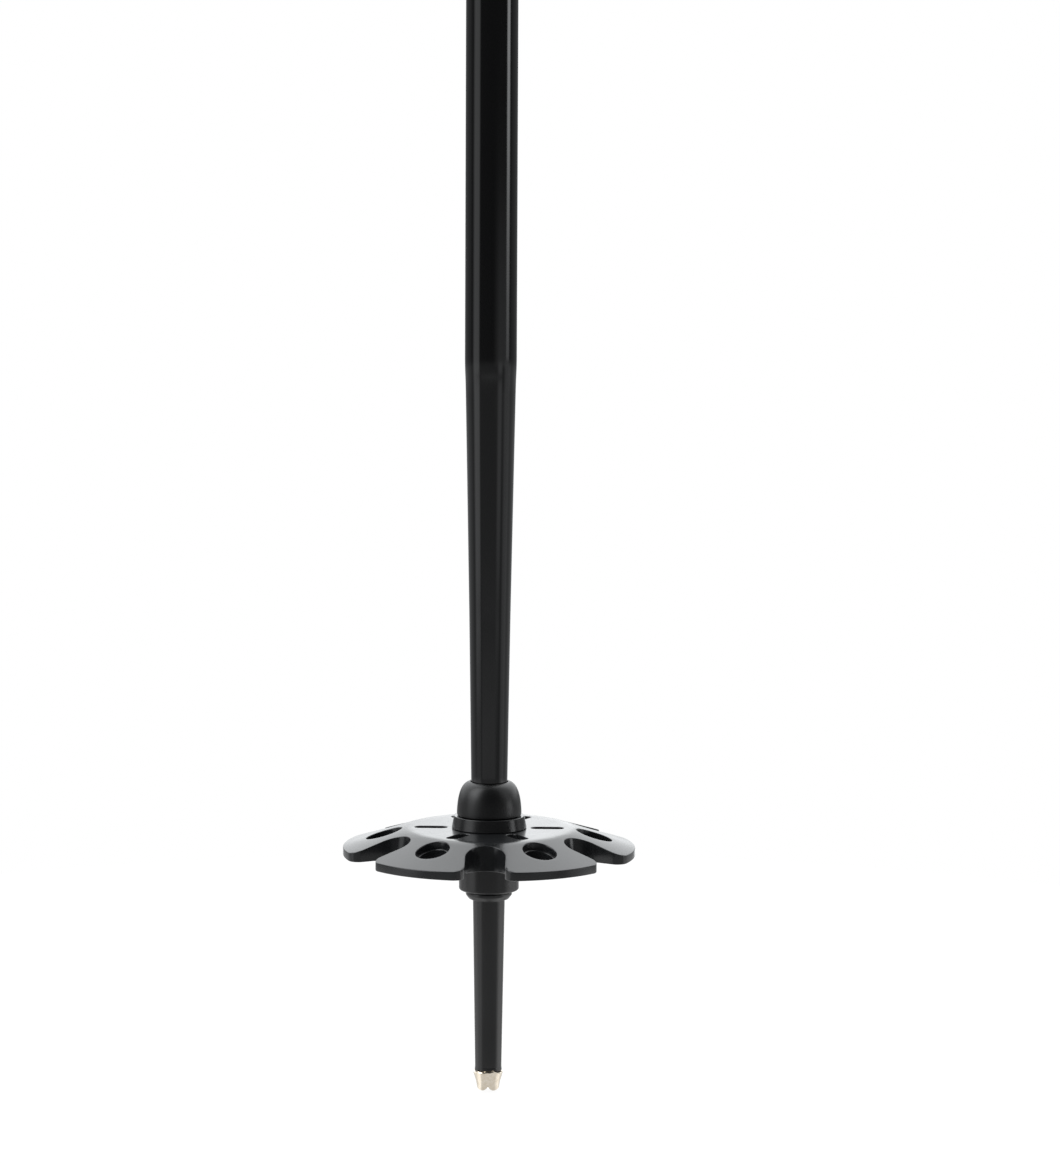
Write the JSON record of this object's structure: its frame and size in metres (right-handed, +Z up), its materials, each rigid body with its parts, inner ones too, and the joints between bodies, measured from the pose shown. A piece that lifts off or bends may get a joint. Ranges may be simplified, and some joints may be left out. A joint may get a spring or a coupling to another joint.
{
  "type": "ski pole",
  "caption": "Ski pole with a tapered tubular shaft, moulded ferrule with a steel tip, a turning lobed powder basket, a hand grip and a hanging wrist strap.",
  "frame": {"origin": "on the pole's axis at the lowest point of the steel tip", "axes": "+Z up the pole towards the grip, +Y towards the side that the strap hangs on, +X to the right seen from the finger side"},
  "size_m": [0.102, 0.0988, 1.2],
  "materials": {
    "shaft_lacquer": "gloss black lacquer on aluminium",
    "ferrule_plastic": "satin gloss moulded nylon",
    "hub_plastic": "satin gloss moulded nylon",
    "dome_rubber": "soft-touch black",
    "basket_plastic": "satin moulded polymer",
    "tip_steel": "warm bright steel",
    "adhesive": "hot-melt adhesive",
    "grip_rubber": "textured soft rubber",
    "grip_plastic": "fine satin moulding",
    "cap_plastic": "gloss black",
    "zinc_steel": "zinc plated",
    "strap_webbing": "woven polyester webbing",
    "strap_lining": "brushed knit over foam"
  },
  "bodies": {
    "pole": {"tip_crown": "tip_steel", "ferrule_body": "ferrule_plastic", "ferrule_adhesive": "adhesive", "ferrule_dome": "dome_rubber", "shaft_tube": "shaft_lacquer", "shaft_lower_plug": "grip_plastic", "shaft_top_plug": "grip_plastic", "grip_core": "grip_plastic", "grip_sleeve": "grip_rubber", "grip_inlay_left": "grip_plastic", "grip_inlay_right": "grip_plastic", "grip_collar": "cap_plastic", "grip_head": "grip_plastic", "top_cap": "cap_plastic", "cap_screw": "zinc_steel", "screw_washer": "zinc_steel", "strap_pin": "zinc_steel"},
    "basket": {"basket_disc": "basket_plastic", "basket_hub": "hub_plastic"},
    "strap": {"strap_webbing": "strap_webbing", "strap_lining": "strap_lining", "strap_end_tab": "grip_rubber"},
    "keeper": {"strap_keeper": "cap_plastic"}
  },
  "joints": [
    {"name": "basket_spin", "type": "hinge", "parent": "pole", "child": "basket", "pos_m": [0, 0, 0.085], "axis": [0, 0, 1], "continuous": true},
    {"name": "strap_swing", "type": "hinge", "parent": "pole", "child": "strap", "pos_m": [0, 0.0225, 1.178], "axis": [1, 0, 0], "range_deg": [0, 110]},
    {"name": "keeper_slide", "type": "slide", "parent": "strap", "child": "keeper", "axis": [0, 0, 1], "range_m": [0, 0.006]}
  ]
}
